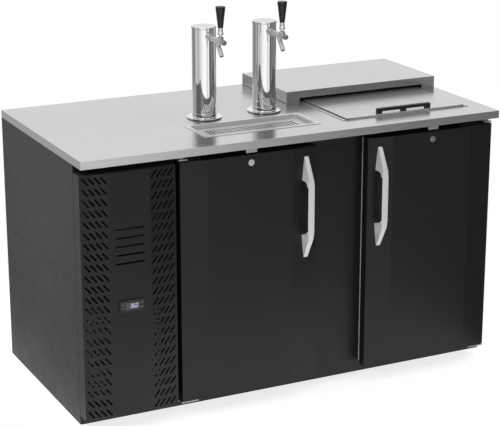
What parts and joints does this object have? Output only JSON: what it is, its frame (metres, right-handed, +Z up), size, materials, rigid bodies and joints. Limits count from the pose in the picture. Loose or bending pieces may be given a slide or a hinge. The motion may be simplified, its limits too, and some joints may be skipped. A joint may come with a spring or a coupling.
{
  "type": "draft beer cooler",
  "caption": "Under-counter draft beer cooler with hinged doors, steel counter, tap towers, drip tray, sliding club lid and vented machine compartment.",
  "frame": {"origin": "middle of the floor area that the cooler covers, on the floor plane under its feet", "axes": "+X to the right seen from the front, +Y from the doors to the back, +Z up"},
  "size_m": [1.499, 0.777, 1.2931],
  "materials": {
    "black_paint": "black powder coat, fine satin texture",
    "side_paint": "black powder coat, satin",
    "foam": "insulation with a smooth plastic face",
    "liner": "plain mill finish",
    "stainless": "brushed stainless steel",
    "chrome": "polished chrome",
    "zinc": "bright zinc plate",
    "satin_metal": "satin silver",
    "black_plastic": "moulded black plastic",
    "key_plastic": "grey moulded plastic",
    "lens": "smoked display window",
    "gasket": "grey vinyl door seal",
    "fastener": "black screws",
    "machine_paint": "black gloss enamel",
    "copper": "bare copper tube"
  },
  "bodies": {
    "cabinet": {"base_frame": "black_paint", "cabinet_shell": "black_paint", "face_frame": "black_paint", "centre_mullion": "black_paint", "grille_frame": "black_paint", "vent_grille": "black_paint", "upper_side_panel": "side_paint", "lower_side_panel": "side_paint", "rear_vent_panel": "side_paint", "control_box": "side_paint", "cabinet_foam": "foam", "cabinet_liner": "liner", "evaporator_housing": "liner", "evaporator_coil": "liner", "condenser_coil": "liner", "countertop": "stainless", "drip_tray": "stainless", "club_hood": "stainless", "lid_tracks": "stainless", "tower_flanges": "chrome", "tower_columns": "chrome", "tower_caps": "chrome", "faucet_shanks": "chrome", "faucet_bodies": "chrome", "faucet_bonnets": "chrome", "lock_strikes": "zinc", "door_hinges": "zinc", "levelling_feet": "black_plastic", "cord_gland": "black_plastic", "controller_housing": "black_plastic", "controller_lens": "lens", "panel_screws": "fastener", "compressor": "machine_paint", "fan_motors": "machine_paint", "refrigerant_tubes": "copper"},
    "left_door": {"left_door_skin": "black_paint", "left_door_core": "foam", "left_door_gasket": "gasket", "left_door_handle": "satin_metal", "left_lock_barrel": "chrome"},
    "right_door": {"right_door_skin": "black_paint", "right_door_core": "foam", "right_door_gasket": "gasket", "right_door_handle": "satin_metal", "right_lock_barrel": "chrome"},
    "left_lock": {"left_lock_plug": "chrome"},
    "right_lock": {"right_lock_plug": "chrome"},
    "club_lid": {"sliding_lid": "stainless", "lid_handle": "black_plastic"},
    "left_tap": {"left_tap_lever": "chrome", "left_tap_handle": "black_plastic"},
    "right_tap": {"right_tap_lever": "chrome", "right_tap_handle": "black_plastic"},
    "grid": {"drip_grid": "stainless"},
    "condenser_blower": {"condenser_fan": "black_plastic"},
    "evaporator_blower": {"evaporator_fan": "black_plastic"},
    "upper_left_key": {"key_top_left": "key_plastic"},
    "lower_left_key": {"key_bottom_left": "key_plastic"},
    "upper_right_key": {"key_top_right": "key_plastic"},
    "lower_right_key": {"key_bottom_right": "key_plastic"}
  },
  "joints": [
    {"name": "left_door_swing", "type": "hinge", "parent": "cabinet", "child": "left_door", "pos_m": [-0.4055, -0.3275, 0.459], "axis": [0, 0, -1], "range_deg": [0, 100], "stiffness_Nm_per_rad": 2, "springref_deg": -20.05},
    {"name": "right_door_swing", "type": "hinge", "parent": "cabinet", "child": "right_door", "pos_m": [0.7225, -0.3275, 0.459], "axis": [0, 0, 1], "range_deg": [0, 100], "stiffness_Nm_per_rad": 2, "springref_deg": -20.05},
    {"name": "left_lock_turn", "type": "hinge", "parent": "left_door", "child": "left_lock", "pos_m": [-0.177, -0.3435, 0.832], "axis": [0, -1, 0], "range_deg": [0, 90]},
    {"name": "right_lock_turn", "type": "hinge", "parent": "right_door", "child": "right_lock", "pos_m": [0.494, -0.3435, 0.832], "axis": [0, 1, 0], "range_deg": [0, 90]},
    {"name": "lid_slide", "type": "slide", "parent": "cabinet", "child": "club_lid", "axis": [0, 1, 0], "range_m": [0, 0.255]},
    {"name": "left_tap_pull", "type": "hinge", "parent": "cabinet", "child": "left_tap", "pos_m": [-0.181, -0.1415, 1.186], "axis": [1, 0, 0], "range_deg": [0, 25]},
    {"name": "right_tap_pull", "type": "hinge", "parent": "cabinet", "child": "right_tap", "pos_m": [0.04, -0.1415, 1.186], "axis": [1, 0, 0], "range_deg": [0, 25]},
    {"name": "drip_grid_lift", "type": "slide", "parent": "cabinet", "child": "grid", "axis": [0, 0, 1], "range_m": [0, 0.08]},
    {"name": "condenser_fan_spin", "type": "hinge", "parent": "cabinet", "child": "condenser_blower", "pos_m": [-0.591, -0.1605, 0.223], "axis": [0, -1, 0], "continuous": true},
    {"name": "evaporator_fan_spin", "type": "hinge", "parent": "cabinet", "child": "evaporator_blower", "pos_m": [-0.2655, 0.1425, 0.7198], "axis": [1, 0, 0], "continuous": true},
    {"name": "upper_left_key_press", "type": "slide", "parent": "cabinet", "child": "upper_left_key", "axis": [0, 1, 0], "range_m": [0, 0.0006], "stiffness_N_per_m": 300},
    {"name": "lower_left_key_press", "type": "slide", "parent": "cabinet", "child": "lower_left_key", "axis": [0, 1, 0], "range_m": [0, 0.0006], "stiffness_N_per_m": 300},
    {"name": "upper_right_key_press", "type": "slide", "parent": "cabinet", "child": "upper_right_key", "axis": [0, 1, 0], "range_m": [0, 0.0006], "stiffness_N_per_m": 300},
    {"name": "lower_right_key_press", "type": "slide", "parent": "cabinet", "child": "lower_right_key", "axis": [0, 1, 0], "range_m": [0, 0.0006], "stiffness_N_per_m": 300}
  ]
}
